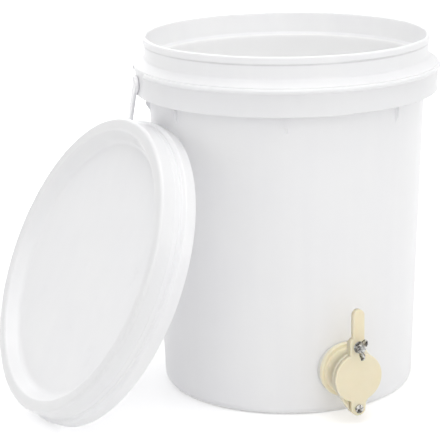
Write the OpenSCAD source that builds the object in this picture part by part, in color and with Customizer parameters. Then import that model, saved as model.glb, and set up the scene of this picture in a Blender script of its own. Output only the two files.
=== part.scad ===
// Honey bucket: a moulded pail with a swing gate low on its wall, its lid off and leaning on its side.
// Millimetres. The origin is on the floor under the pail's axis, +Z is up and the gate faces -Y.

/* [Pail] */
// Height from the floor to the top of the rim
pail_h = 360; // [345:1:400]
// Outer diameter of the neck between the rim and the collar
neck_d = 285.8; // [270:0.1:310]
// How far the body's top lies in from the neck
neck_step = 3.8; // [3.5:0.1:6]
// How far the body's foot lies in from its top
taper = 10.5; // [6:0.1:14]
// How far the lip stands out past the neck
lip_out = 1.5; // [1:0.1:3]
// How far the collar's band stands out past the neck
collar_out = 9.6; // [8:0.1:11]
// How far the bead along the top of the collar stands out past its band
bead_out = 2; // [1.5:0.1:2.4]
// Wall of the pail
wall = 2.3; // [1.8:0.1:3]
// Thickness of the floor
floor_t = 2.8; // [2:0.1:4]
// Height of the foot ring that the floor is raised by
foot_h = 3; // [2:0.5:6]
// Width of the flat ring that the pail stands on
foot_w = 14; // [8:1:24]
// Radius of the round between the wall and the floor
base_fillet = 8; // [5:0.5:14]
// Height of the lip
lip_h = 7.2; // [5:0.1:10]
// Height of the plain neck under the lip
neck_h = 13.7; // [10:0.1:20]
// Fall of the sloping shelf from the neck to the band
shelf_drop = 6.7; // [3:0.1:10]
// Radius of the hollow round between the neck and the shelf
shelf_fillet = 3; // [1:0.5:5]
// Height of the collar from the shelf's outer edge to its lower edge
collar_h = 28; // [24:0.5:36]
// Radius of the bead's round
bead_round = 2.6; // [2:0.1:3]
// How far the bead lies below the shelf's outer edge
bead_drop = 0.9; // [0.5:0.1:2]
// Gussets under each half of the collar
gusset_count = 4; // [2:1:4]
// Angle between neighbouring gussets
gusset_step = 49.5; // [30:0.5:50]
// Thickness of a gusset
gusset_t = 2; // [1.5:0.1:3]
// How far a gusset runs down the wall below the collar
gusset_tail = 20; // [12:0.5:26]
// How far a gusset stands out from the wall below the collar
gusset_out = 4; // [2.5:0.1:6]

/* [Bail] */
// Angle of the ears from square to the gate
ear_turn = 9; // [8:0.5:12]
// Height of the ears above the collar's lower edge
ear_rise = 12.7; // [12:0.1:15]
// Diameter of the pin at each end of the bail
pin_d = 9; // [6:0.5:10]
// Diameter of the bail's round ends
hub_d = 17; // [14:0.5:18]
// Angle over which the collar's bead stops at each ear
ear_gap = 20; // [18:0.5:24]
// Diameter of the boss behind each ear
ear_boss_d = 20; // [18:0.5:24]
// Depth of the boss behind each ear
ear_boss_h = 2.2; // [1:0.1:3]
// Width of the strap
strap_w = 11; // [8:0.5:14]
// Thickness of the strap
strap_t = 3.4; // [2.5:0.1:4]
// Radius of the strap's edges
strap_round = 1; // [0.5:0.1:1.2]
// Distance from the ears to the middle of the grip
bail_drop = 230; // [225:1:260]
// Outer radius of the bends between the arms and the grip
bail_bend = 95; // [60:1:100]
// Diameter of the grip
grip_d = 18; // [14:0.5:22]
// Length of the grip
grip_l = 110; // [90:1:115]
// Finger rings round the grip
grip_rings = 5; // [3:1:7]

/* [Lid] */
// Wall of the lid
lid_t = 2.2; // [1.8:0.1:3]
// Depth of the recessed panel below the lid's raised ring
panel_drop = 13; // [8:0.5:14]
// Width of the slope from the raised ring to the panel
panel_slope = 8.7; // [8:0.1:20]
// Height of the flange along the skirt's open edge
flange_h = 11; // [8:0.5:14]
// How far the flange stands out past the collar's bead
flange_over = 0.4; // [0.2:0.1:3]
// Radius of the round along the ring's outer edge
ring_round = 3.5; // [2:0.1:5]
// Radius of the round along the ring's inner edge
crest_round = 2.5; // [1:0.1:4]
// Radius of the hollow round at the edge of the panel
panel_round = 6; // [2:0.5:12]
// Radius of the rounds where the skirt meets the flange
flange_round = 2; // [1:0.1:3]
// Radius of the flange's lower edges
edge_round = 0.8; // [0.4:0.1:1]
// Room between the rim's lip and the skirt
lip_room = 3.4; // [2.5:0.1:5]
// How much wider the skirt's radius is at the flange than at the ring
skirt_flare = 1.2; // [0.5:0.1:2]
// Room between the pail's mouth and the wall that drops into it
plug_room = 1.2; // [0.8:0.1:3]
// Thickness of the soft gasket under the ring
gasket_t = 4.7; // [4:0.1:7]
// Width of the soft gasket
gasket_w = 5.6; // [4:0.1:7]
// How far below the collar the leaning lid's upper edge rests
lid_low = 24.5; // [15:0.5:40]
// Angle from the gate round to the leaning lid
lid_turn = 85.5; // [82:0.5:86]

/* [Gate] */
// Height of the gate's bore above the floor
gate_z = 47; // [46:0.5:70]
// Bore of the gate
bore_d = 36; // [30:0.5:40]
// Wall of the tail that passes through the pail
tail_wall = 3.5; // [2.5:0.1:5]
// How far the back flange stands out past the tail
flange_rim = 6; // [4:0.1:8]
// Thickness of the back flange
flange_t = 5; // [3:0.5:7]
// Radius of the rounds on the back flange and at its foot
gate_round = 1.5; // [0.5:0.1:2]
// Wall of the spout
spout_wall = 5; // [4:0.1:6]
// Distance from the back of the flange to the face that the flap closes
gate_reach = 25.5; // [22:0.5:40]
// Thickness of the plate behind the flap
plate_t = 6; // [5:0.5:8]
// Diameter of the rounded lugs above and below the bore
lug_d = 15; // [14:0.5:17]
// Distance from the edge of the flap's disc to the pivot below it and to the clamp bolt above it
lug_gap = 6.75; // [6.5:0.05:10]
// How far the flap's disc reaches past the bore
flap_over = 6.75; // [5.5:0.05:9]
// Thickness of the flap
flap_t = 5.5; // [4:0.5:8]
// Width of the flap's handle
handle_w = 11.8; // [11:0.1:16]
// Height of the handle's top above the bore
handle_top = 69; // [60:0.5:80]
// How far the web beside the clamp bolt stands out past the handle
web_out = 3; // [2:0.1:6]
// How far the ring nut stands out past the tail
nut_rim = 6; // [5:0.1:9]
// Thickness of the ring nut
nut_t = 8; // [6:0.5:10]
// Least thickness of the rubber rings on the wall
rubber_t = 1.5; // [1:0.1:3]
// How far the rubber rings stop short of the flange and the nut that press them
rubber_back = 0.5; // [0.2:0.1:1]
// Length of tail that shows past the ring nut
tail_over = 3.5; // [1:0.5:8]

/* [Fasteners] */
// Diameter of the pivot screw
screw_d = 4; // [3:0.5:5]
// Diameter of the pivot screw's pan head
screw_head_d = 8.4; // [7:0.1:9]
// Height of the pivot screw's pan head
screw_head_t = 2.6; // [2:0.1:3]
// Width across the flats of the pivot screw's nut
nut_flats = 7; // [6.5:0.1:8]
// Thickness of the pivot screw's nut
hex_nut_t = 3.2; // [2.4:0.1:4]
// Diameter of the washer under the pivot screw's nut
pivot_washer_d = 8.8; // [8:0.1:10]
// Diameter of the clamp bolt
bolt_d = 5; // [4:0.5:6]
// Width across the flats of the clamp bolt's head
bolt_flats = 8; // [7:0.1:10]
// Height of the clamp bolt's head
hex_head_t = 3.5; // [2.8:0.1:4]
// Diameter of the washer under the wing nut
clamp_washer_d = 12; // [10:0.5:13]
// Thickness of the washers
washer_t = 1; // [0.8:0.1:1.5]
// Span of the wing nut
wing_span = 21; // [18:0.5:25]
// Turn of the wings from upright
wing_turn = 11; // [-45:1:45]

/* [Fits] */
// Radial room in a hole that something passes through
slip = 0.3; // [0.2:0.05:0.5]
// Radial room round a turning shaft
running = 0.08; // [0.05:0.01:0.1]
// Gap between flat faces that slide on each other
slide = 0.1; // [0.05:0.05:0.2]
// Gap where one piece leans on another
rest = 0.3; // [0.2:0.1:0.5]

/* [Hidden] */
$fn = 96;
fine_fn = 720;
past = 1;

// Heights and radii of the pail
shelf_top = pail_h - lip_h - neck_h;
shelf_low = shelf_top - shelf_drop;
collar_z = shelf_low - collar_h;
draft = taper / collar_z;
neck_r = neck_d / 2;
mouth_r = neck_r - wall;
lip_r = neck_r + lip_out;
base_r = neck_r - neck_step - taper;
lip_round = (lip_r - mouth_r) / 3;
collar_r = neck_r + collar_out;
bead_r = collar_r + bead_out;
bead_z = shelf_low - bead_round - bead_drop;
shelf_angle = atan(shelf_drop / (collar_r - neck_r));
shelf_under = wall / cos(shelf_angle);
neck_foot = shelf_top - 2 * wall;
floor_z = foot_h + floor_t;
in_fillet = base_fillet - wall;

// The outer radius of the pail's tapered body at a height
function body_r(z) = base_r + draft * z;
function shelf_z(r) = shelf_top - (r - neck_r) * shelf_drop / (collar_r - neck_r);

// Places of the bail
ear_z = collar_z + ear_rise;
ear_face = collar_r + slip;
strap_in = ear_face + slip;
strap_out = strap_in + strap_t;
boss_face = collar_r - wall - ear_boss_h;
pin_head_t = 2;
pin_catch = 1.5;
grip_r = grip_d / 2;
// The bail hangs back until its grip lies on the wall
draft_angle = atan(draft);
wall_reach = (body_r(ear_z) * cos(draft_angle) + grip_r + rest) / bail_drop;
hang = asin(wall_reach) - draft_angle;

// Sizes of the lid, taken from the rim and collar that it fits
lid_rim_r = bead_r + flange_over;
lid_h = pail_h - shelf_low + gasket_t + lid_t + slip;
skirt_r = lip_r + lip_room + lid_t;
skirt_low_r = skirt_r + skirt_flare;
crest_in = mouth_r - lid_t - plug_room;
panel_r = crest_in - panel_slope;
slope_angle = atan(panel_drop / panel_slope);
slope_shift = lid_t * tan(slope_angle / 2);
skirt_z = flange_h + (lid_rim_r - skirt_low_r) / 2;
lip_under = lid_h - lid_t - gasket_t - slip - lip_h;
catch_r = (neck_r + lip_r) / 2;
catch_h = 3;
// The lid stands on its flange and its upper edge rests on the wall
steepest = 15;
lid_lean = acos(min(cos(steepest), (collar_z - lid_low) / 2 / lid_rim_r));
lid_z = (lid_rim_r - edge_round) * cos(lid_lean) + edge_round * (1 - sin(lid_lean));
lid_out = body_r(2 * lid_z) + rest + lid_rim_r * sin(lid_lean);

// Places of the gate, as distances out from the pail's axis
tail_r = bore_d / 2 + tail_wall;
flange_r = tail_r + flange_rim;
spout_r = bore_d / 2 + spout_wall;
flap_r = bore_d / 2 + flap_over;
lug_off = flap_r + lug_gap;
seat = body_r(gate_z + flange_r) + rubber_t;
face = seat + gate_reach;
plate_back = face - plate_t;
flap_back = face + slide;
flap_front = flap_back + flap_t;
nut_r = tail_r + nut_rim;
nut_wall_r = body_r(gate_z - nut_r) - wall;
nut_seat = sqrt(nut_wall_r * nut_wall_r - nut_r * nut_r) - rubber_t;
tail_end = nut_seat - nut_t - tail_over;
rubber_r = flange_r - rubber_back;
screw_r = screw_d / 2;
bolt_r = bolt_d / 2;
lug_r = lug_d / 2;
lug_root = 1.2 * lug_r;
hex_sink = 2;
hex_head_r = bolt_flats / 2 / cos(30);
hex_nut_r = nut_flats / 2 / cos(30);
screw_head_r = screw_head_d / 2;
wing_seat = flap_front + washer_t + 2 * slide;
wing_hub_h = bolt_d;

module rounded_rect(w, h, r) {
    translate([r, 0])
        square([w - 2 * r, h]);
    translate([0, r])
        square([w, h - 2 * r]);
    for (x = [r, w - r], y = [r, h - r])
        translate([x, y])
            circle(r);
}

// What fills a hollow corner, or is cut off a sharp one, to leave a round tangent to both its sides
module corner_2d(before, corner, after, r) {
    u = (before - corner) / norm(before - corner);
    v = (after - corner) / norm(after - corner);
    half = acos(u * v) / 2;
    inward = (u + v) / norm(u + v);
    difference() {
        polygon([corner - inward * r / 4, corner + u * r / tan(half), corner + v * r / tan(half)]);
        translate(corner + inward * r / sin(half))
            circle(r);
    }
}

// Two unequal circles, the second straight above the first, joined by their outer tangents
module teardrop_2d(r1, r2, off) {
    tilt = asin((r1 - r2) / off);
    circle(r1);
    translate([0, off])
        circle(r2);
    polygon([
        [r1 * cos(tilt), r1 * sin(tilt)],
        [r2 * cos(tilt), off + r2 * sin(tilt)],
        [-r2 * cos(tilt), off + r2 * sin(tilt)],
        [-r1 * cos(tilt), r1 * sin(tilt)]
    ]);
}

// Gate frame: X to the right and Y up as seen from the front, Z out from the pail's axis
module at_gate(out = 0, up = 0)
    translate([0, 0, gate_z])
        rotate([90, 0, 0])
            translate([0, up, out])
                children();

// Bail frame: X along the ears, the arms hanging straight down
module at_ears()
    translate([0, 0, ear_z])
        rotate([0, 0, -ear_turn])
            children();

// Lid frame: Z out of the lid's top, from the plane of its open edge
module at_lid()
    rotate([0, 0, -90 - lid_turn])
        translate([lid_out, 0, lid_z])
            rotate([0, 90 - lid_lean, 0])
                children();

module pail_outside() {
    foot_r = body_r(base_fillet) - base_fillet;
    polygon([
        [0, base_fillet],
        [body_r(base_fillet), base_fillet],
        [body_r(neck_foot), neck_foot],
        [0, neck_foot]
    ]);
    square([foot_r, base_fillet + past]);
    translate([foot_r, base_fillet])
        circle(base_fillet);
    translate([mouth_r - wall, neck_foot - past])
        square([2 * wall, pail_h - lip_h / 2 - neck_foot + past]);
    translate([mouth_r, pail_h - lip_h])
        rounded_rect(lip_r - mouth_r, lip_h, lip_round);
}

module pail_inside() {
    round_z = floor_z + in_fillet;
    round_r = body_r(round_z) - wall - in_fillet;
    polygon([
        [0, round_z],
        [body_r(round_z) - wall, round_z],
        [body_r(neck_foot) - wall, neck_foot],
        [mouth_r, shelf_top],
        [mouth_r, pail_h + past],
        [0, pail_h + past]
    ]);
    translate([0, floor_z])
        square([round_r, in_fillet + past]);
    translate([round_r, round_z])
        circle(in_fillet);
    translate([0, -past])
        square([body_r(0) - base_fillet - foot_w, foot_h + past]);
}

module collar_2d() {
    band_in = collar_r - wall;
    band_low = collar_z + wall / 2;
    polygon([
        [mouth_r + wall / 2, shelf_top],
        [neck_r, shelf_top],
        [collar_r, shelf_low],
        [collar_r, band_low],
        [band_in, band_low],
        [band_in, shelf_z(band_in) - shelf_under],
        [mouth_r + wall / 2, shelf_z(mouth_r + wall / 2) - shelf_under]
    ]);
    corner_2d([neck_r, pail_h], [neck_r, shelf_top], [collar_r, shelf_low], shelf_fillet);
    translate([collar_r - wall / 2, band_low])
        circle(wall / 2);
    translate([bead_r - bead_round, bead_z])
        circle(bead_round);
}

module gusset() {
    low = collar_z - gusset_tail;
    web_low = collar_z + wall;
    band_mid = collar_r - wall / 2;
    rotate([90, 0, 0])
        linear_extrude(gusset_t, center = true)
            polygon([
                [body_r(low) - wall / 2, low],
                [body_r(low) + gusset_out, low + 2 * gusset_out],
                [body_r(web_low) + gusset_out, web_low],
                [band_mid, web_low + band_mid - body_r(web_low) - gusset_out],
                [band_mid, shelf_z(band_mid) - shelf_under / 2],
                [body_r(neck_foot) - wall / 2, neck_foot]
            ]);
}

module pail() color("whitesmoke") difference() {
    union() {
        rotate_extrude() {
            difference() {
                pail_outside();
                pail_inside();
            }
            collar_2d();
        }
        for (half = [0, 180], i = [0 : gusset_count - 1])
            rotate([0, 0, half + (i - (gusset_count - 1) / 2) * gusset_step - 90])
                gusset();
        at_ears()
            for (side = [0, 180])
                rotate([0, 0, side])
                    translate([boss_face, 0, 0])
                        rotate([0, 90, 0])
                            cylinder(d = ear_boss_d, h = ear_boss_h + wall / 2);
    }
    at_ears()
        for (side = [0, 180])
            rotate([0, 0, side]) {
                translate([boss_face - past, 0, 0])
                    rotate([0, 90, 0])
                        cylinder(r = pin_d / 2 + slip, h = bead_r - boss_face + 2 * past);
                rotate([0, 0, -ear_gap / 2])
                    translate([0, 0, bead_z - bead_round - past - ear_z])
                        rotate_extrude(angle = ear_gap)
                            translate([ear_face, 0])
                                square([bead_r, 2 * (bead_round + past)]);
            }
    at_gate(out = nut_wall_r - nut_r)
        cylinder(r = tail_r + slip, h = seat - nut_wall_r + nut_r);
}

module bail_arm() {
    bend_x = strap_out - bail_bend;
    bend_z = bail_bend - bail_drop - strap_t / 2;
    translate([strap_in, -strap_w / 2, bend_z])
        linear_extrude(-bend_z)
            rounded_rect(strap_t, strap_w, strap_round);
    translate([bend_x, strap_w / 2, bend_z])
        rotate([90, 0, 0])
            rotate([0, 0, -90])
                rotate_extrude(angle = 90)
                    translate([bail_bend - strap_t, 0])
                        rounded_rect(strap_t, strap_w, strap_round);
    translate([0, -strap_w / 2, -bail_drop - strap_t / 2])
        rotate([90, 0, 90])
            linear_extrude(bend_x)
                rounded_rect(strap_w, strap_t, strap_round);
    translate([strap_in, 0, 0])
        rotate([0, 90, 0])
            cylinder(d = hub_d, h = strap_t);
    head_out = boss_face - rest;
    translate([head_out - pin_head_t, 0, 0])
        rotate([0, 90, 0]) {
            cylinder(d = pin_d, h = strap_in - head_out + pin_head_t);
            cylinder(r1 = pin_d / 2 - slip, r2 = pin_d / 2 + pin_catch, h = pin_head_t);
        }
}

module bail_grip() {
    ring_gap = grip_l / grip_rings;
    ring_dip = grip_r / 8;
    rotate([0, 90, 0])
        rotate_extrude()
            difference() {
                translate([0, -grip_l / 2])
                    square([grip_r, grip_l]);
                for (i = [0 : grip_rings])
                    translate([grip_r + ring_gap / 2, (i - grip_rings / 2) * ring_gap])
                        circle(ring_gap / 2 + ring_dip);
            }
}

module bail() color("gainsboro") at_ears() rotate([hang, 0, 0]) {
    bail_arm();
    rotate([0, 0, 180])
        bail_arm();
    translate([0, 0, -bail_drop])
        bail_grip();
}

module lid_outside() {
    polygon([
        [0, 0],
        [lid_rim_r, 0],
        [lid_rim_r, flange_h],
        [skirt_low_r, skirt_z],
        [skirt_r, lid_h - ring_round],
        [skirt_r - ring_round, lid_h],
        [crest_in, lid_h],
        [panel_r, lid_h - panel_drop],
        [0, lid_h - panel_drop]
    ]);
    translate([skirt_r - ring_round, lid_h - ring_round])
        circle(ring_round);
    corner_2d([crest_in, lid_h], [panel_r, lid_h - panel_drop], [0, lid_h - panel_drop], panel_round);
    corner_2d([lid_rim_r, flange_h], [skirt_low_r, skirt_z], [skirt_r, lid_h], flange_round);
}

// What is cut off the sharp edges of the lid's profile
module lid_edges() {
    corner_2d([skirt_r, lid_h], [crest_in, lid_h], [panel_r, lid_h - panel_drop], crest_round);
    corner_2d([lid_rim_r, 0], [lid_rim_r, flange_h], [skirt_low_r, skirt_z], flange_round);
    corner_2d([0, 0], [lid_rim_r, 0], [lid_rim_r, flange_h], edge_round);
    corner_2d([lid_rim_r, 0], [lid_rim_r - lid_t, 0], [lid_rim_r - lid_t, flange_h], edge_round);
}

module lid_inside() {
    polygon([
        [0, -past],
        [lid_rim_r - lid_t, -past],
        [lid_rim_r - lid_t, flange_h - lid_t / 2],
        [skirt_low_r - lid_t, skirt_z - lid_t / 2],
        [skirt_r - lid_t, lid_h - lid_t],
        [crest_in + slope_shift, lid_h - lid_t],
        [panel_r + slope_shift, lid_h - panel_drop - lid_t],
        [0, lid_h - panel_drop - lid_t]
    ]);
}

// The ledge inside the skirt that snaps under the rim's lip
module lid_catch() {
    root = skirt_r - lid_t / 2;
    polygon([
        [root, lip_under + catch_h / 2],
        [catch_r, lip_under - slip],
        [catch_r, lip_under - slip - catch_h / 3],
        [root, lip_under - 2 * catch_h]
    ]);
}

module lid() color("white") at_lid() {
    tear_r = 0.6;
    tear_sink = 0.2;
    tear_low = 3;
    tear_strip = 5;
    dimple_r = 6;
    dimple_deep = 0.6;
    dish_r = (dimple_r * dimple_r / dimple_deep + dimple_deep) / 2;
    difference() {
        rotate_extrude() {
            difference() {
                lid_outside();
                lid_inside();
                lid_edges();
                for (above = [tear_low, tear_low + tear_strip])
                    translate([skirt_low_r - tear_sink, skirt_z + above])
                        circle(tear_r);
            }
            lid_catch();
        }
        translate([0, 0, lid_h - panel_drop - dimple_deep + dish_r])
            sphere(dish_r);
    }
}

module lid_gasket() color("lightgray") at_lid()
    rotate_extrude()
        translate([(mouth_r + lip_r - gasket_w) / 2, lid_h - lid_t - gasket_t])
            rounded_rect(gasket_w, gasket_t, gasket_t / 4);

// Half the section of the tail, back flange and spout, with the height as the distance out
module gate_2d() {
    front = seat + flange_t;
    translate([0, tail_end])
        square([tail_r, front - tail_end]);
    translate([0, seat])
        square([spout_r, gate_reach]);
    difference() {
        translate([0, seat])
            square([flange_r, flange_t]);
        corner_2d([0, front], [flange_r, front], [flange_r, seat], gate_round);
    }
    corner_2d([flange_r, front], [spout_r, front], [spout_r, face], gate_round);
}

module gate_body() color("wheat") difference() {
    union() {
        at_gate()
            rotate_extrude()
                gate_2d();
        at_gate(out = plate_back)
            linear_extrude(plate_t) {
                mirror([0, 1])
                    teardrop_2d(flap_r - slip, lug_r, lug_off);
                teardrop_2d(lug_root, lug_r, lug_off);
            }
    }
    at_gate(out = tail_end - past)
        cylinder(d = bore_d, h = face - tail_end + 2 * past);
    at_gate(out = plate_back - past, up = -lug_off)
        cylinder(r = screw_r + running, h = plate_t + 2 * past);
    at_gate(out = plate_back - past, up = lug_off) {
        cylinder(r = bolt_r + running, h = plate_t + 2 * past);
        cylinder(r = hex_head_r + running, h = hex_sink + past, $fn = 6);
    }
}

// A cone that follows the outside of the pail's wall round the gate, moved out by a distance
module wall_cone(out)
    cylinder(r1 = body_r(0) + out, r2 = body_r(2 * gate_z) + out, h = 2 * gate_z, $fn = fine_fn);

module outer_gasket() color("linen") difference() {
    at_gate(out = seat - rubber_r)
        cylinder(r = rubber_r, h = rubber_r);
    at_gate(out = seat - rubber_r - past)
        cylinder(r = tail_r + slip, h = rubber_r + 2 * past);
    wall_cone(slide);
}

module inner_gasket() color("linen") difference() {
    intersection() {
        at_gate(out = nut_seat)
            cylinder(r = nut_r - rubber_back, h = nut_r);
        wall_cone(-wall - slide);
    }
    at_gate(out = nut_seat - past)
        cylinder(r = tail_r + slip, h = nut_r + 2 * past);
}

module ring_nut() color("burlywood") {
    lug_count = 8;
    lug_h = 2.5;
    at_gate(out = nut_seat - nut_t)
        linear_extrude(nut_t)
            difference() {
                union() {
                    circle(nut_r - lug_h);
                    for (i = [1 : lug_count])
                        rotate(i * 360 / lug_count)
                            translate([nut_r - 2 * lug_h, -lug_h])
                                square([2 * lug_h, 2 * lug_h]);
                }
                circle(tail_r + running);
            }
}

module flap_2d() {
    web_r = 4;
    web_low = flap_r / 2;
    web_high = lug_off + bolt_d + lug_r / 2;
    difference() {
        union() {
            circle(flap_r);
            mirror([0, 1])
                teardrop_2d(lug_root, lug_r, lug_off);
            translate([-handle_w / 2 - web_out, web_low])
                rounded_rect(handle_w + web_out, web_high - web_low, web_r);
            translate([-handle_w / 2, 0])
                square([handle_w, handle_top - handle_w / 2]);
            translate([0, handle_top - handle_w / 2])
                circle(handle_w / 2);
        }
        translate([0, -lug_off])
            circle(screw_r + running);
        bolt_slot_2d();
    }
}

// The curved slot round the pivot that lets the clamp bolt leave to the right
module bolt_slot_2d() {
    half_w = bolt_r + slip;
    translate([0, lug_off])
        circle(half_w);
    intersection() {
        translate([0, -lug_off])
            difference() {
                circle(2 * lug_off + half_w);
                circle(2 * lug_off - half_w);
            }
        square([handle_w, 2 * lug_off]);
    }
}

module gate_flap() color("moccasin")
    at_gate(out = flap_back)
        linear_extrude(flap_t)
            flap_2d();

module pivot_screw() color("silver") {
    head_out = flap_front + slide;
    tail_in = plate_back - washer_t - hex_nut_t - screw_r;
    recess_w = screw_d / 4;
    recess_l = 0.6 * screw_head_d;
    at_gate(out = tail_in, up = -lug_off)
        cylinder(r = screw_r, h = head_out - tail_in + screw_head_t / 4);
    at_gate(out = head_out, up = -lug_off)
        difference() {
            intersection() {
                cylinder(r = screw_head_r, h = screw_head_t);
                translate([0, 0, screw_head_t - 2 * screw_head_r])
                    sphere(2 * screw_head_r);
            }
            for (turn = [20, 110])
                rotate([0, 0, turn])
                    translate([-recess_l / 2, -recess_w / 2, screw_head_t / 2])
                        cube([recess_l, recess_w, screw_head_t]);
        }
}

module pivot_washer() color("silver")
    at_gate(out = plate_back - washer_t, up = -lug_off)
        linear_extrude(washer_t)
            difference() {
                circle(d = pivot_washer_d);
                circle(screw_r + running);
            }

module pivot_nut() color("silver")
    at_gate(out = plate_back - washer_t - hex_nut_t, up = -lug_off)
        linear_extrude(hex_nut_t)
            difference() {
                circle(hex_nut_r, $fn = 6);
                circle(screw_r);
            }

module clamp_bolt() color("silver") {
    head_back = plate_back + hex_sink - hex_head_t;
    at_gate(out = head_back, up = lug_off) {
        cylinder(r = hex_head_r, h = hex_head_t, $fn = 6);
        cylinder(r = bolt_r, h = wing_seat + wing_hub_h + bolt_r - head_back);
    }
}

module clamp_washer() color("silver")
    at_gate(out = flap_front + slide, up = lug_off)
        linear_extrude(washer_t)
            difference() {
                circle(d = clamp_washer_d);
                circle(bolt_r + running);
            }

module wing_2d() {
    root_r = wing_hub_h / 3;
    root = [bolt_r + root_r, wing_hub_h / 2];
    tip_r = wing_span / 6;
    tip = [wing_span / 2 - tip_r, wing_hub_h + tip_r];
    lean = atan2(tip.x - root.x, tip.y - root.y);
    translate(root)
        rotate(-lean)
            teardrop_2d(root_r, tip_r, norm(tip - root));
}

module wing_nut() color("lightsteelblue") at_gate(out = wing_seat, up = lug_off) {
    wing_t = bolt_r * 0.8;
    difference() {
        union() {
            cylinder(r1 = bolt_d, r2 = 0.8 * bolt_d, h = wing_hub_h);
            rotate([0, 0, -wing_turn])
                for (side = [90, -90])
                    rotate([0, 0, side])
                        rotate([90, 0, 0])
                            linear_extrude(wing_t, center = true)
                                wing_2d();
        }
        translate([0, 0, -past])
            cylinder(r = bolt_r + running, h = 3 * wing_hub_h);
    }
}

pail();
bail();
lid();
lid_gasket();
gate_body();
outer_gasket();
inner_gasket();
ring_nut();
gate_flap();
pivot_screw();
pivot_washer();
pivot_nut();
clamp_bolt();
clamp_washer();
wing_nut();
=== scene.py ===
import math

import bmesh
import bpy
from mathutils import Matrix, Vector


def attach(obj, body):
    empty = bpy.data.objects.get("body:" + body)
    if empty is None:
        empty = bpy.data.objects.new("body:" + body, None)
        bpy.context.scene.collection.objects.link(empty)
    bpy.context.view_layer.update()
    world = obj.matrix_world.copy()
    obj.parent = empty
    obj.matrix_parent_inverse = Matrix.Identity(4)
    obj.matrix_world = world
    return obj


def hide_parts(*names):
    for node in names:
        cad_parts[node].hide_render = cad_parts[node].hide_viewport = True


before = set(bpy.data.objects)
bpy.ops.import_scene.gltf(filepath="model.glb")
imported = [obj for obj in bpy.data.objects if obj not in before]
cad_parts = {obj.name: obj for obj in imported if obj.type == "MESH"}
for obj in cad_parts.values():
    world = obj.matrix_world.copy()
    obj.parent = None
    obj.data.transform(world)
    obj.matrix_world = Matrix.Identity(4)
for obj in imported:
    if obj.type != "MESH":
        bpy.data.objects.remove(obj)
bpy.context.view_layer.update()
scene = bpy.context.scene

# The camera stands at about twice the pail's height on its left, with a long lens.
# It looks a little down, so that the mouth shows as a narrow oval, and leans one degree.
# Light is followed for more bounces than usual, because the pail is deep and white inside.
camera_place = Vector((-0.73364, -1.59516, 0.6404))
camera_aim = Vector((0.36853, 0.89236, -0.2607))
camera_lean = math.radians(-1.0)
camera_view = math.radians(14.23)
camera = bpy.data.objects.new("camera", bpy.data.cameras.new("camera"))
camera.data.angle = camera_view
camera_turn = camera_aim.to_track_quat("-Z", "Y").to_matrix() @ Matrix.Rotation(camera_lean, 3, "Z")
camera.matrix_world = Matrix.Translation(camera_place) @ camera_turn.to_4x4()
scene.collection.objects.link(camera)
scene.camera = camera
scene.view_settings.view_transform = "Standard"
scene.cycles.diffuse_bounces = 8


# The floor is a sheet of white paper that runs on past the view, and the room is white too.
# Three wide soft boxes, in front, above and behind, give the walls their gentle shading, and a
# narrow strip on the right draws the long glints on the lid's skirt.
class Shade:
    """One socket in a tree of shader nodes. Arithmetic on it adds Math nodes."""

    def __init__(self, tree, socket=None):
        self.tree = tree
        self.socket = socket

    def add(self, kind, settings, sockets, output=0):
        """Adds a node with these settings and inputs, and gives one of its outputs."""
        node = self.tree.nodes.new(kind)
        for name, value in settings.items():
            if name == "stops":
                while len(node.color_ramp.elements) < len(value):
                    node.color_ramp.elements.new(1)
                for element, (place, colour) in zip(node.color_ramp.elements, value):
                    element.position = place
                    element.color = colour
            else:
                setattr(node, name, value)
        for name, value in sockets.items():
            if isinstance(value, Shade):
                self.tree.links.new(value.socket, node.inputs[name])
            else:
                node.inputs[name].default_value = value
        return Shade(self.tree, node.outputs[output] if node.outputs else None)

    def math(self, operation, first, second):
        return self.add("ShaderNodeMath", {"operation": operation}, {0: first, 1: second})

    def __add__(self, other):
        return self.math("ADD", self, other)

    __radd__ = __add__

    def __sub__(self, other):
        return self.math("SUBTRACT", self, other)

    def __rsub__(self, other):
        return self.math("SUBTRACT", other, self)

    def __mul__(self, other):
        return self.math("MULTIPLY", self, other)

    __rmul__ = __mul__


def seen_directly(tree):
    """1 for the camera and for what shiny or clear pieces show, 0 for light that falls on them."""
    rays = Shade(tree).add("ShaderNodeLightPath", {}, {}, "Is Camera Ray")
    node = rays.socket.node
    glossy = Shade(tree, node.outputs["Is Glossy Ray"])
    through = Shade(tree, node.outputs["Is Transmission Ray"])
    return rays.math("MAXIMUM", rays.math("MAXIMUM", rays, glossy), through)


room_light = 0.64
room = bpy.data.worlds.new("white_room")
room.use_nodes = True
room.node_tree.nodes.clear()
room_seen = seen_directly(room.node_tree)
room_strength = room_seen * (1 - room_light) + room_light
room_shader = room_seen.add(
    "ShaderNodeBackground", {}, {"Color": (1, 1, 1, 1), "Strength": room_strength}
)
room_seen.add("ShaderNodeOutputWorld", {}, {"Surface": room_shader})
scene.world = room

floor_size = 8
glow_by_pail = 0.25
glow_per_metre = 0.6
floor_mesh = bmesh.new()
bmesh.ops.create_grid(floor_mesh, x_segments=1, y_segments=1, size=floor_size)
floor_data = bpy.data.meshes.new("floor")
floor_mesh.to_mesh(floor_data)
floor_mesh.free()
floor = bpy.data.objects.new("floor", floor_data)
scene.collection.objects.link(floor)
paper = bpy.data.materials.new("white_paper")
paper.use_nodes = True
paper.node_tree.nodes.clear()
paper_seen = seen_directly(paper.node_tree)
paper_place = paper_seen.add("ShaderNodeTexCoord", {}, {}, "Object")
paper_away = paper_seen.add(
    "ShaderNodeVectorMath", {"operation": "LENGTH"}, {0: paper_place}, "Value"
)
paper_glow = paper_seen.math("MINIMUM", paper_away * glow_per_metre + glow_by_pail, 1.0)
paper_lit = paper_seen.add("ShaderNodeBsdfDiffuse", {}, {"Color": (0.9, 0.9, 0.9, 1)})
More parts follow.
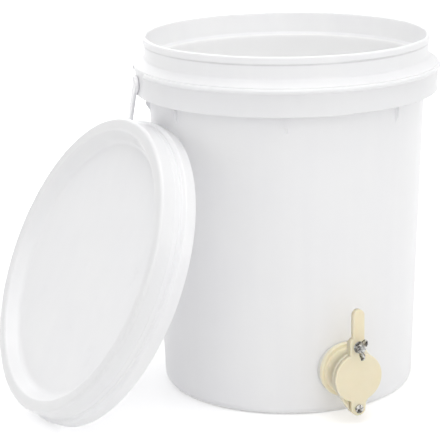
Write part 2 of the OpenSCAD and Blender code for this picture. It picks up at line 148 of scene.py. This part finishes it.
paper_white = paper_seen.add("ShaderNodeEmission", {}, {"Strength": paper_seen * paper_glow})
paper_sum = paper_seen.add("ShaderNodeAddShader", {}, {0: paper_lit, 1: paper_white})
paper_seen.add("ShaderNodeOutputMaterial", {}, {"Surface": paper_sum})
floor_data.materials.append(paper)

pail_middle = Vector((0, 0, 0.2))


def soft_box(name, place, size, watts):
    """A soft box of this width and height, turned towards the middle of the pail."""
    lamp = bpy.data.lights.new(name, "AREA")
    lamp.shape = "RECTANGLE"
    lamp.size, lamp.size_y = size
    lamp.energy = watts
    stand = bpy.data.objects.new(name, lamp)
    turn = (pail_middle - Vector(place)).to_track_quat("-Z", "Y").to_matrix()
    stand.matrix_world = Matrix.Translation(place) @ turn.to_4x4()
    scene.collection.objects.link(stand)


soft_box("box_front", place=(-0.8, -1.9, 1.7), size=(1.8, 1.8), watts=6.5)
soft_box("box_above", place=(0, -0.2, 2.2), size=(1.6, 1.6), watts=16)
soft_box("box_back", place=(0.2, 1.9, 1.0), size=(1.4, 1.4), watts=8)
soft_box("strip_right", place=(1.4, -1.3, 0.8), size=(0.09, 0.7), watts=2)


# The pail is one injection moulding in white high-density polyethylene, with a waxy half gloss.
# Its wall is thin enough for light to pass into it, and the melt leaves faint upright flow marks.
def finish(name, **constants):
    """A new material with its shader node, and the place on the piece in metres."""
    material = bpy.data.materials.new(name)
    material.use_nodes = True
    shader = material.node_tree.nodes["Principled BSDF"]
    for socket, value in constants.items():
        shader.inputs[socket.replace("_", " ")].default_value = value
    place = Shade(material.node_tree).add("ShaderNodeTexCoord", {}, {}, "Object")
    return material, shader, place


def drive(shader, **links):
    """Links values that vary over a piece to the shader's sockets of these names."""
    for socket, value in links.items():
        value.tree.links.new(value.socket, shader.inputs[socket.replace("_", " ")])


def dress(node, material):
    """Gives a CAD piece that is shown as it is its only material."""
    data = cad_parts[node].data
    data.materials.clear()
    data.materials.append(material)


def white_polyethylene(name, gloss, painted_light=None):
    """Waxy white plastic between two near shades, with flow marks and a fine grain.
    An optional mask paints light and shade into the colour: where it gives 1 the colour is painted
    lighter, as painted light, and where it gives -1 it is painted darker, as painted shade."""
    # The darkest and the lightest stops are reached only through the mask, as painted shade and
    # painted light.
    painted_shade = (0.72, 0.72, 0.725, 1)
    dull = (0.895, 0.895, 0.91, 1)
    bright = (0.925, 0.925, 0.94, 1)
    painted_lit = (0.985, 0.985, 0.985, 1)
    material, shader, place = finish(
        name, Subsurface_Weight=0.8, Subsurface_Radius=(1, 1, 1), Subsurface_Scale=0.0035, IOR=1.5
    )
    streaks = place.add("ShaderNodeMapping", {}, {"Vector": place, "Scale": (60, 60, 3)})
    flow = place.add("ShaderNodeTexNoise", {}, {"Vector": streaks, "Scale": 1.0, "Detail": 3.0})
    cloud = place.add("ShaderNodeTexNoise", {}, {"Vector": place, "Scale": 14.0, "Detail": 4.0})
    grain = place.add("ShaderNodeTexNoise", {}, {"Vector": place, "Scale": 900.0, "Detail": 2.0})
    shade = flow * 0.2 + cloud * 0.3 + 0.25
    # The mask paints light and shade into the colour.
    if painted_light:
        shade = shade + painted_light(place) * 0.4
    tone = place.add(
        "ShaderNodeValToRGB",
        {"stops": [(0.05, painted_shade), (0.4, dull), (0.6, bright), (0.7, bright), (0.85, painted_lit)]},
        {"Fac": shade},
    )
    rough = gloss + cloud * 0.16 + grain * 0.06
    relief = grain * 0.3 + flow * 0.7
    bump = place.add("ShaderNodeBump", {}, {"Strength": 0.25, "Distance": 0.0002, "Height": relief})
    drive(shader, Base_Color=tone, Roughness=rough, Normal=bump)
    return material


def pail_painted_light(place):
    """1 inside the pail's tapered wall, painted lighter as painted light, and -1 in a thin band
    under the lip, painted darker as a painted shadow.
    """
    base_r = 0.1286
    draft = 0.0345
    half_wall = 0.0012
    neck_middle_r = 0.1417
    lip_foot = 0.3522
    lip_shadow_reach = 0.0016
    flat = place.add("ShaderNodeVectorMath", {"operation": "MULTIPLY"}, {0: place, 1: (1, 1, 0)})
    out = place.add("ShaderNodeVectorMath", {"operation": "LENGTH"}, {0: flat}, "Value")
    height = place.add("ShaderNodeSeparateXYZ", {}, {"Vector": place}, "Z")
    # Inside the wall the colour is painted lighter, as painted light.
    inside = place.math("LESS_THAN", out, height * draft + (base_r - half_wall))
    # Outside, a thin band under the lip is painted darker, as a painted shadow line.
    from_lip = place.math("ABSOLUTE", height - lip_foot, 0.0)
    lip_shadow = place.math("MAXIMUM", 1 - from_lip * (1 / lip_shadow_reach), 0.0)
    outside = place.math("GREATER_THAN", out, neck_middle_r)
    return inside - lip_shadow * outside


# The pail's inside is painted lighter, as painted light, and a thin band under the lip darker, as a
# painted shadow.
pail_plastic = white_polyethylene("pail_polyethylene", gloss=0.3, painted_light=pail_painted_light)
dress("pail", pail_plastic)

# The bail is a flat moulded strap with a ribbed grip, sprung into the two holes in the collar.
# It is the same white plastic as the pail, and hangs down behind it.
bail_plastic = white_polyethylene("bail_polyethylene", gloss=0.3)
dress("bail", bail_plastic)

# The lid is a second moulding, a little glossier, with a raised ring round a sunk panel.
# Its skirt pushes down over the rim and has two thin lines along which it tears.
lid_plastic = white_polyethylene("lid_polyethylene", gloss=0.2)
dress("lid", lid_plastic)


# The lid's gasket is a soft foamed ring, poured into the channel under the raised ring.
# It sets in place with a skin that is a little uneven, and keeps fine cells under it.
def settle(mesh, name, material, body):
    """Makes a finished mesh into a smooth piece that moves with a body and has a material slot."""
    bmesh.ops.recalc_face_normals(mesh, faces=mesh.faces)
    data = bpy.data.meshes.new(name)
    mesh.to_mesh(data)
    mesh.free()
    for face in data.polygons:
        face.use_smooth = True
    data.materials.append(material)
    piece = bpy.data.objects.new(name, data)
    scene.collection.objects.link(piece)
    piece.modifiers.new("even_normals", "WEIGHTED_NORMAL")
    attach(piece, body)
    return piece


def merged(node):
    """A copy of a CAD piece's mesh with its loose corners joined."""
    touching = 0.000001
    mesh = bmesh.new()
    mesh.from_mesh(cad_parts[node].data)
    bmesh.ops.remove_doubles(mesh, verts=mesh.verts, dist=touching)
    return mesh


foam, foam_shader, foam_place = finish("foam_ring", IOR=1.45)
foam_cells = foam_place.add("ShaderNodeTexVoronoi", {}, {"Vector": foam_place, "Scale": 1200.0})
foam_tone = foam_place.add(
    "ShaderNodeValToRGB",
    {"stops": [(0, (0.6, 0.6, 0.58, 1)), (0.8, (0.74, 0.74, 0.72, 1))]},
    {"Fac": foam_cells},
)
foam_bump = foam_place.add(
    "ShaderNodeBump", {}, {"Strength": 0.4, "Distance": 0.0003, "Height": foam_cells}
)
drive(foam_shader, Base_Color=foam_tone, Roughness=foam_cells * 0.1 + 0.75, Normal=foam_bump)
foam_dip = 0.0003
foam_wave = Vector((310, 190, 270))
foam_mesh = merged("lid_gasket")
foam_mesh.normal_update()
for corner in foam_mesh.verts:
    wave = math.sin(corner.co.dot(foam_wave))
    corner.co -= corner.normal * foam_dip * (0.5 + 0.5 * wave)
foam_piece = settle(foam_mesh, "lid_gasket_poured", foam, "lid")
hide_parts("lid_gasket")


# The gate's body is moulded in cream nylon, smooth and a little glassy, with its outer edges eased.
# Its threaded tail passes through the wall, and the ring nut draws the back flange against it.
def cream_nylon(name, shaded, bright):
    """Half-clear cream plastic between two near shades, with a fine grain and dull patches."""
    material, shader, place = finish(
        name,
        Subsurface_Weight=0.5,
        Subsurface_Radius=(1, 0.85, 0.6),
        Subsurface_Scale=0.004,
        IOR=1.53,
    )
    cloud = place.add("ShaderNodeTexNoise", {}, {"Vector": place, "Scale": 70.0, "Detail": 4.0})
    handled = place.add("ShaderNodeTexNoise", {}, {"Vector": place, "Scale": 160.0, "Detail": 6.0})
    grain = place.add("ShaderNodeTexNoise", {}, {"Vector": place, "Scale": 1500.0, "Detail": 2.0})
    stops = [(0.3, shaded), (0.7, bright)]
    tone = place.add("ShaderNodeValToRGB", {"stops": stops}, {"Fac": cloud})
    relief = grain + handled
    bump = place.add("ShaderNodeBump", {}, {"Strength": 0.2, "Distance": 0.0001, "Height": relief})
    drive(shader, Base_Color=tone, Roughness=0.24 + handled * 0.22, Normal=bump)
    return material


def eased(node, width, near=0.0003, chosen=None):
    """A CAD piece's mesh with its sharp edges rounded over, as moulding and casting leave them.
    Every hole lies on the plane X = 0, so flat faces are made whole on either side of it only.
    Corners near the plane count as on it; chosen picks edges by their middle points."""
    level = math.radians(0.6)
    crisp = math.radians(28)
    mesh = merged(node)
    everything = [*mesh.verts, *mesh.edges, *mesh.faces]
    halves = bmesh.ops.bisect_plane(mesh, geom=everything, dist=near, plane_no=(1, 0, 0))
    seam = set(halves["geom_cut"])
    flush = [edge for edge in mesh.edges if edge not in seam]
    loose = [corner for corner in mesh.verts if corner not in seam]
    bmesh.ops.dissolve_limit(mesh, angle_limit=level, verts=loose, edges=flush)
    sharp = [edge for edge in mesh.edges if edge.calc_face_angle(0) > crisp]
    if chosen:
        sharp = [edge for edge in sharp if chosen((edge.verts[0].co + edge.verts[1].co) / 2)]
    bmesh.ops.bevel(
        mesh,
        geom=sharp,
        offset=width,
        offset_type="OFFSET",
        affect="EDGES",
        segments=3,
        profile=0.5,
        material=-1,
    )
    return mesh


def cut_thread(mesh, start, radius, pitch, turns):
    """Adds a screw thread to a shank along Y: one ridge that winds towards +Y from its start."""
    steps_per_turn = 48
    foot = radius - 0.1 * pitch
    crest = radius + 0.4 * pitch
    half_width = 0.45 * pitch
    steps = round(turns * steps_per_turn)
    flank = [(foot, -half_width), (crest, 0), (foot, half_width)]
    corners = [mesh.verts.new(Vector(start) + Vector((out, along, 0))) for out, along in flank]
    ridge = mesh.faces.new(corners)
    bmesh.ops.spin(
        mesh,
        geom=[*corners, *ridge.edges, ridge],
        cent=start,
        axis=(0, 1, 0),
        dvec=(0, pitch * turns / steps, 0),
        angle=2 * math.pi * turns,
        steps=steps,
    )


gate_z = 0.047


def body_edge(middle):
    """Whether an edge is on the spout's front, the tail's end or the flange's rim."""
    spout_front = -0.158
    flange_front = -0.15
    tail_end = -0.1112
    rim_r = 0.027
    on_rim = middle.y > flange_front and math.hypot(middle.x, middle.z - gate_z) > rim_r
    return middle.y < spout_front or middle.y > tail_end or on_rim


gate_nylon = cream_nylon(
    "gate_nylon", shaded=(0.92, 0.835, 0.635, 1), bright=(0.95, 0.87, 0.67, 1)
)
body_mesh = eased("gate_body", width=0.0008, chosen=body_edge)
cut_thread(body_mesh, start=(0, -0.1137, gate_z), radius=0.0215, pitch=0.0016, turns=1.4)
body_piece = settle(body_mesh, "gate_body_moulded", gate_nylon, "bucket")
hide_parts("gate_body")

# Two rings of soft pale silicone take up the curve of the wall, under the flange and under the nut.
# They are cut to the wall's cone and pressed flat by the ring nut, so only a thin edge shows.
silicone, silicone_shader, silicone_place = finish(
    "pale_silicone",
    Subsurface_Weight=0.3,
    Subsurface_Radius=(1, 1, 1),
    Subsurface_Scale=0.002,
    IOR=1.42,
)
silicone_dust = silicone_place.add(
    "ShaderNodeTexNoise", {}, {"Vector": silicone_place, "Scale": 800.0, "Detail": 3.0}
)
silicone_tone = silicone_place.add(
    "ShaderNodeValToRGB",
    {"stops": [(0.3, (0.76, 0.75, 0.69, 1)), (0.7, (0.82, 0.81, 0.76, 1))]},
    {"Fac": silicone_dust},
)
silicone_bump = silicone_place.add(
    "ShaderNodeBump", {}, {"Strength": 0.3, "Distance": 0.0001, "Height": silicone_dust}
)
silicone_rough = silicone_dust * 0.2 + 0.4
drive(silicone_shader, Base_Color=silicone_tone, Roughness=silicone_rough, Normal=silicone_bump)
for node in ("outer_gasket", "inner_gasket"):
    ring_mesh = eased(node, width=0.0003)
    ring = settle(ring_mesh, node + "_pressed", silicone, "bucket")
    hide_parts(node)

# The ring nut is moulded in the same cream nylon, and is turned up by hand inside the pail.
# Its lobes are rounded for the fingers.
nut_mesh = eased("ring_nut", width=0.0008)
nut_piece = settle(nut_mesh, "ring_nut_moulded", gate_nylon, "bucket")
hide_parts("ring_nut")

# The flap is a flat cream moulding: a disc that shuts the spout, an ear to turn on and a handle.
# It slides on the spout's face, so only its front edges are rounded.
flap_nylon = cream_nylon(
    "flap_nylon", shaded=(0.9, 0.81, 0.595, 1), bright=(0.93, 0.84, 0.63, 1)
)
flap_front = -0.1637
flap_mesh = eased(
    "gate_flap", width=0.001, near=0.0006, chosen=lambda middle: middle.y < flap_front
)
flap_piece = settle(flap_mesh, "gate_flap_moulded", flap_nylon, "flap")
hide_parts("gate_flap")


# The pivot screw is turned and plated steel, with a pan head and a pressed cross recess.
# Its colour goes from bright to nearly black in random patches.
def plated_steel(name, dark, bright, scale):
    """Bright plated steel, with dark stains where the plating is thin and fine tool lines."""
    material, shader, place = finish(name, Metallic=1.0)
    stain = place.add(
        "ShaderNodeTexNoise",
        {},
        {"Vector": place, "Scale": scale, "Detail": 5.0, "Distortion": 0.6},
    )
    lines = place.add("ShaderNodeMapping", {}, {"Vector": place, "Scale": (900, 9000, 900)})
    brushed = place.add("ShaderNodeTexNoise", {}, {"Vector": lines, "Scale": 1.0, "Detail": 2.0})
    stops = [(0.42, dark), (0.56, bright)]
    tone = place.add("ShaderNodeValToRGB", {"stops": stops}, {"Fac": stain})
    relief = stain + brushed * 0.4
    bump = place.add("ShaderNodeBump", {}, {"Strength": 0.3, "Distance": 0.0001, "Height": relief})
    drive(shader, Base_Color=tone, Roughness=0.14 + stain * 0.2 + brushed * 0.08, Normal=bump)
    return material


screw_steel = plated_steel(
    "screw_steel", dark=(0.1, 0.095, 0.09, 1), bright=(0.66, 0.65, 0.63, 1), scale=420.0
)
pivot_z = 0.0155
screw_mesh = eased("pivot_screw", width=0.0001)
cut_thread(screw_mesh, start=(0, -0.1476, pivot_z), radius=0.002, pitch=0.0007, turns=1.9)
screw_piece = settle(screw_mesh, "pivot_screw_turned", screw_steel, "bucket")
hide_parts("pivot_screw")

# The pivot's washer and nut are plain bought parts in the same steel, behind the lower lug.
# The nut's corners are rounded and it is run up until the flap just turns.
plain_steel = plated_steel(
    "plain_steel", dark=(0.34, 0.34, 0.33, 1), bright=(0.62, 0.62, 0.61, 1), scale=300.0
)
for node, width in (("pivot_washer", 0.0002), ("pivot_nut", 0.0003)):
    plain_mesh = eased(node, width)
    plain_piece = settle(plain_mesh, node + "_plain", plain_steel, "bucket")
    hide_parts(node)

# The clamp bolt is a hexagon-headed steel bolt, held in the upper lug with its thread to the front.
# Its end stands out of the wing nut by half its own width.
clamp_z = 0.0785
bolt_mesh = eased("clamp_bolt", width=0.0004, near=0.0001)
cut_thread(bolt_mesh, start=(0, -0.1721, clamp_z), radius=0.0025, pitch=0.0008, turns=2.4)
bolt_piece = settle(bolt_mesh, "clamp_bolt_turned", plain_steel, "bucket")
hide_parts("clamp_bolt")

# The clamp washer is a stamped steel ring between the flap and the wing nut.
# The stamp leaves its edges slightly round.
washer_mesh = eased("clamp_washer", width=0.0002)
washer_piece = settle(washer_mesh, "clamp_washer_plain", plain_steel, "bucket")
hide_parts("clamp_washer")


# The wing nut is cast and plated, with a coned hub and two thin wings for the fingers.
# The wings' edges are soft, and its skin shows bright and nearly black side by side.
def wing_edge(middle):
    """Whether an edge is on a wing, clear of the hub."""
    hub_r = 0.005
    return math.hypot(middle.x, middle.z - clamp_z) > hub_r


wing_steel = plated_steel(
    "wing_steel", dark=(0.1, 0.095, 0.09, 1), bright=(0.68, 0.67, 0.65, 1), scale=260.0
)
wing_mesh = eased("wing_nut", width=0.0003, chosen=wing_edge)
wing_piece = settle(wing_mesh, "wing_nut_cast", wing_steel, "wing_nut")
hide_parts("wing_nut")
